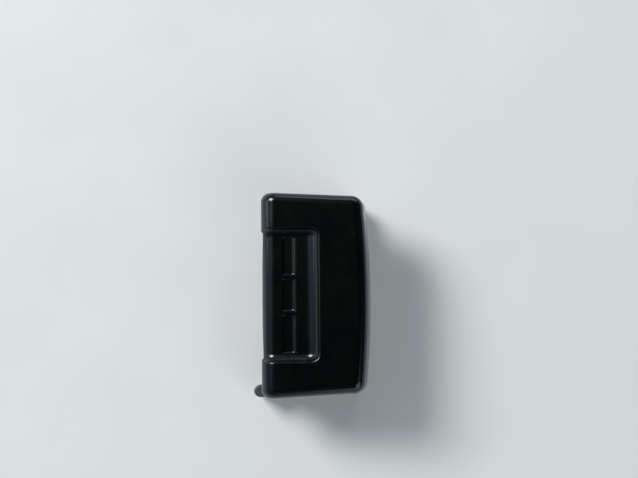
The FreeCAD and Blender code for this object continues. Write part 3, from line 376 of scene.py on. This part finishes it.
def makeReturnSprings():
    # two compression springs with closed ends, ground flat where they sit
    look = {
        "wireMm": 0.7, "turns": 6.0, "closedTurns": 1.1, "ramTravelMm": 3.0,
        "pointsAlong": 260, "wireSides": 12,
        "firstRise": 0.15,  # of the wire, the height of its middle where it starts
    }
    low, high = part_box("return_spring_left")
    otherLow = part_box("return_spring_right")[0]
    tall = high.z - low.z
    first = Vector(((low.x + high.x) / 2, (low.y + high.y) / 2, low.z))
    sizes = {
        "Coil across": high.x - low.x,
        "Wire across": look["wireMm"] * mm,
        "Height": tall,
        "Turns": look["turns"],
        "Closed turns": look["closedTurns"],
        "First seat": first,
        "Step to the other": Vector((otherLow.x - low.x, otherLow.y - low.y, 0)),
        "Steel": materialOf["spring_steel"],
    }
    tree, given, identifiers = newTree("returnSprings", sizes)
    wire = given["Wire across"]
    line = addNode(tree, "GeometryNodeCurvePrimitiveLine").outputs["Curve"]
    inputs = {"Curve": line, "Count": look["pointsAlong"]}
    line = addNode(tree, "GeometryNodeResampleCurve", None, inputs).outputs[0]
    along = addNode(tree, "GeometryNodeSplineParameter").outputs["Factor"]
    angle = combine(tree, "MULTIPLY", along, given["Turns"])
    angle = combine(tree, "MULTIPLY", angle, math.tau)
    radius = combine(tree, "SUBTRACT", given["Coil across"], wire)
    radius = combine(tree, "MULTIPLY", radius, 0.5)
    across = combine(tree, "MULTIPLY", combine(tree, "COSINE", angle), radius)
    deep = combine(tree, "MULTIPLY", combine(tree, "SINE", angle), radius)
    rise = coilRise(tree, given, along, look["firstRise"])
    coil = placed(tree, line, joinedPosition(tree, across, deep, rise))
    ring = {"Resolution": look["wireSides"], "Radius": combine(tree, "MULTIPLY", wire, 0.5)}
    ring = addNode(tree, "GeometryNodeCurvePrimitiveCircle", None, ring).outputs["Curve"]
    inputs = {"Curve": coil, "Profile Curve": ring, "Fill Caps": True}
    coil = addNode(tree, "GeometryNodeCurveToMesh", None, inputs).outputs["Mesh"]

    # the ends are ground: nothing stands below the seat or above the cap
    where = addNode(tree, "GeometryNodeInputPosition").outputs[0]
    split = addNode(tree, "ShaderNodeSeparateXYZ", None, {"Vector": where}).outputs
    level = combine(tree, "MAXIMUM", split["Z"], 0.0)
    level = combine(tree, "MINIMUM", level, given["Height"])
    coil = placed(tree, coil, joinedPosition(tree, split["X"], split["Y"], level))
    coil = addNode(tree, "GeometryNodeSetShadeSmooth", None, {"Geometry": coil}).outputs[0]

    step = given["Step to the other"]
    inputs = {"Count": 2, "Start Location": given["First seat"], "Offset": step}
    seats = addNode(tree, "GeometryNodeMeshLine", None, inputs).outputs["Mesh"]
    inputs = {"Points": seats, "Instance": coil}
    both = addNode(tree, "GeometryNodeInstanceOnPoints", None, inputs).outputs[0]
    finishTree(tree, both, given["Steel"])

    springs = addPiece("return_springs", bakedMesh(tree, sizes, identifiers), "return_spring_left")
    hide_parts("return_spring_left", "return_spring_right")
    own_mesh(springs)
    print("return springs wound,", len(springs.data.polygons), "faces")


makeReturnSprings()


def setUpCamera():
    look = {
        "lensMm": 77.5,
        "sensorMm": 36,
        "distance": 0.684,
        "lean": 5.0,  # degrees off plumb, towards the card guide's end
        "roll": -0.53,  # degrees
        "imageWide": 638,  # pixels, as are the two offsets
        "rowBelowCentre": 55.2,  # how far below the middle of the image the lever's middle lies
        "columnFromCentre": -3.6,
        "aimBelowTopMm": 4,  # of the lever cover
        "clipStart": 0.01,
    }
    coverLow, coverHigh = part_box("lever_cover")
    metresPerPixel = look["distance"] * look["sensorMm"] / look["lensMm"] / look["imageWide"]
    middle = (coverLow + coverHigh) / 2
    aim = Vector((
        middle.x - look["rowBelowCentre"] * metresPerPixel,
        middle.y - look["columnFromCentre"] * metresPerPixel,
        coverHigh.z - look["aimBelowTopMm"] * mm,
    ))
    lean = math.radians(look["lean"])
    back = Vector((math.sin(lean), 0, math.cos(lean)))
    right = Vector((0, 1, 0))
    turned = Matrix((right, back.cross(right), back)).transposed().to_4x4()
    camera = bpy.data.objects.new("camera", bpy.data.cameras.new("camera"))
    bpy.context.scene.collection.objects.link(camera)
    camera.data.lens = look["lensMm"]
    camera.data.sensor_width = look["sensorMm"]
    camera.data.clip_start = look["clipStart"]
    roll = Matrix.Rotation(math.radians(look["roll"]), 4, "Z")
    camera.matrix_world = Matrix.Translation(aim + back * look["distance"]) @ turned @ roll
    bpy.context.scene.camera = camera


def addLight(name, look, aimHeight):
    # turn is in degrees round from the card side (-Y) towards -X, rise is above the board
    turn, rise = math.radians(look["turn"]), math.radians(look["rise"])
    flat = Vector((-math.sin(turn), -math.cos(turn), 0)) * math.cos(rise)
    away = flat + Vector((0, 0, math.sin(rise)))
    data = bpy.data.lights.new(name, "AREA")
    data.shape = "RECTANGLE"
    data.size, data.size_y = look["size"]
    data.energy = look["power"]
    data.color = fromHex(look["tint"])[:3]
    light = bpy.data.objects.new(name, data)
    bpy.context.scene.collection.objects.link(light)
    place = Vector((0, 0, aimHeight)) + away * look["distance"]
    facing = away.to_track_quat("Z", "Y").to_matrix().to_4x4()
    light.matrix_world = Matrix.Translation(place) @ facing


def makeBoard():
    look = {
        "dark": "#d6d7d6", "light": "#dadbda", "half": 40.0, "cloudMm": 60, "rough": 0.8,
        "nearLift": 0.12, "farLift": 0.80, "farFrom": 0.9, "farTo": 3.6,
    }
    floorMesh = bpy.data.meshes.new("floor")
    half = look["half"]
    corners = [(-half, -half, 0), (half, -half, 0), (half, half, 0), (-half, half, 0)]
    floorMesh.from_pydata(corners, [], [(0, 1, 2, 3)])
    floor = bpy.data.objects.new("floor", floorMesh)
    bpy.context.scene.collection.objects.link(floor)
    material, tree, shader, coords = newMaterial("paintedBoardPale")
    colour = cloudedColour(tree, noise(tree, coords, look["cloudMm"]), look)
    tree.links.new(colour, shader.inputs["Base Color"])
    shader.inputs["Roughness"].default_value = look["rough"]
    # the board is lifted a little where it is seen, also in metal, and keeps its shadow;
    # it is lifted more far out, where the lamps don't reach
    rays = addNode(tree, "ShaderNodeLightPath").outputs
    seen = combine(tree, "MAXIMUM", rays["Is Camera Ray"], rays["Is Glossy Ray"])
    seen = combine(tree, "MAXIMUM", seen, rays["Is Transmission Ray"])
    tree.links.new(colour, shader.inputs["Emission Color"])
    away = addNode(tree, "ShaderNodeVectorMath", {"operation": "LENGTH"}, {0: coords})
    away = away.outputs["Value"]
    lift = rescale(tree, away, look["farFrom"], look["farTo"], look["nearLift"], look["farLift"])
    tree.links.new(combine(tree, "MULTIPLY", seen, lift), shader.inputs["Emission Strength"])
    floorMesh.materials.append(material)


def makeSurroundings():
    # dark overhead, a dim cool wall all round that is brightest on the card side, and a pale
    # strip where it meets the board; each fade is from, to, level at from, level at to, along
    # one axis of the direction looked in
    look = {
        "zenith": "#0a0b0c", "wall": "#67889e", "skirting": "#b9bdbf", "strength": 1.0,
        "wallFadeZ": (0.35, 0.78, 1.0, 0.35), "overheadFadeZ": (0.78, 0.94, 1.0, 0.0),
        "sideFadeY": (0.5, -0.8, 0.3, 1.0), "skirtingFadeZ": (0.10, 0.03, 0.0, 1.0),
    }
    world = bpy.data.worlds.new("studio")
    bpy.context.scene.world = world
    world.use_nodes = True
    tree = world.node_tree
    tree.nodes.clear()
    direction = addNode(tree, "ShaderNodeTexCoord").outputs["Generated"]
    split = addNode(tree, "ShaderNodeSeparateXYZ", None, {"Vector": direction}).outputs
    low = rescale(tree, split["Z"], *look["wallFadeZ"])
    low = combine(tree, "MULTIPLY", low, rescale(tree, split["Z"], *look["overheadFadeZ"]))
    low = combine(tree, "MULTIPLY", low, rescale(tree, split["Y"], *look["sideFadeY"]))
    colour = mixColour(tree, low, fromHex(look["zenith"]), fromHex(look["wall"]))
    strip = rescale(tree, split["Z"], *look["skirtingFadeZ"])
    colour = mixColour(tree, strip, colour, fromHex(look["skirting"]))
    inputs = {"Color": colour, "Strength": look["strength"]}
    sky = addNode(tree, "ShaderNodeBackground", None, inputs)
    addNode(tree, "ShaderNodeOutputWorld", None, {"Surface": sky.outputs[0]})


def setUpLights():
    lights = {
        "key": {
            "turn": 36, "rise": 40, "distance": 2.4, "size": (0.92, 0.92),
            "power": 57.0, "tint": "#fffdfa",
        },
        "cardSide": {
            "turn": 30, "rise": 38, "distance": 1.0, "size": (1.1, 0.65),
            "power": 0.75, "tint": "#8fb4cb",
        },
        "catch": {
            "turn": 12, "rise": 16, "distance": 0.9, "size": (0.16, 0.18),
            "power": 0.32, "tint": "#d3e6ff",
        },
        "nearEnd": {
            "turn": 102, "rise": 20, "distance": 0.9, "size": (0.7, 0.35),
            "power": 1.8, "tint": "#d6eaf2",
        },
        "farEnd": {
            "turn": -110, "rise": 22, "distance": 1.0, "size": (0.9, 0.45),
            "power": 1.6, "tint": "#e0ecf0",
        },
        "fill": {
            "turn": -140, "rise": 42, "distance": 1.3, "size": (0.8, 0.8),
            "power": 3.0, "tint": "#fbfaf8",
        },
    }
    aimHeight = 0.03  # all of them point at this height over the middle of the board
    for name, light in lights.items():
        addLight(name, light, aimHeight)


setUpCamera()
makeBoard()
makeSurroundings()
setUpLights()
bpy.context.scene.view_settings.view_transform = "Standard"
print("camera and stage set")
